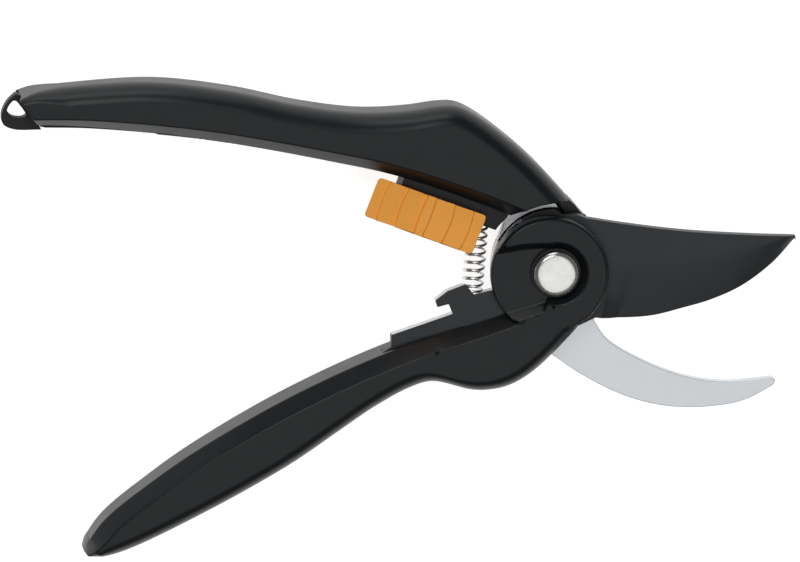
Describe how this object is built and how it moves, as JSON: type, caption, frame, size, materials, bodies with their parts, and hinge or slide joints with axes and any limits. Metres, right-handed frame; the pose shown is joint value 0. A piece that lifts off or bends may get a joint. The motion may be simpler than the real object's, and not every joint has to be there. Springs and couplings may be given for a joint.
{
  "type": "pruning shears",
  "caption": "Bypass pruning shears, open: curved cutting blade over a hook blade, offset plastic handles, coil opening spring and a sliding thumb lock.",
  "frame": {"origin": "on the pivot axis, on the plane that the back rests on, which is the back face of the pivot nut", "axes": "+X along the blades towards the tips, +Y towards the upper handle, +Z out of the front face"},
  "size_m": [0.1998, 0.1212, 0.0189],
  "materials": {
    "handle_plastic": "satin moulded nylon, near black",
    "core_plastic": "matte glass-filled nylon, neutral dark grey",
    "bare_blade_steel": "ground lengthways",
    "coated_blade_steel": "matte low-friction coating",
    "polished_steel": "polished",
    "plated_steel": "zinc plated",
    "pin_steel": "turned",
    "spring_steel": "bright drawn wire",
    "washer_plastic": "black acetal",
    "orange_plastic": "satin moulded plastic"
  },
  "bodies": {
    "upper_body": {"upper_handle": "handle_plastic", "upper_insert": "core_plastic", "hook_blade": "bare_blade_steel", "hook_tang_pin_1": "pin_steel", "hook_tang_pin_2": "pin_steel", "pivot_bolt": "polished_steel", "pivot_bush": "pin_steel", "pivot_nut": "plated_steel", "head_washer": "washer_plastic", "nut_washer": "plated_steel", "opening_spring": "spring_steel", "lock_return_spring": "spring_steel"},
    "lower_body": {"lower_handle": "handle_plastic", "lower_insert": "core_plastic", "cutting_blade": "coated_blade_steel", "blade_tang_pin_1": "pin_steel", "blade_tang_pin_2": "pin_steel"},
    "lock": {"lock_slider": "orange_plastic"}
  },
  "joints": [
    {"name": "handle_pivot", "type": "hinge", "parent": "upper_body", "child": "lower_body", "pos_m": [0, 0, 0.00945], "axis": [0, 0, -1], "range_deg": [0, 36], "stiffness_Nm_per_rad": 0.5, "springref_deg": -20.05, "deforming": ["opening_spring"]},
    {"name": "lock_slide", "type": "slide", "parent": "upper_body", "child": "lock", "axis": [0.9311, -0.3649, 0], "range_m": [0, 0.004], "stiffness_N_per_m": 100, "springref_m": -0.004, "deforming": ["lock_return_spring"]}
  ]
}
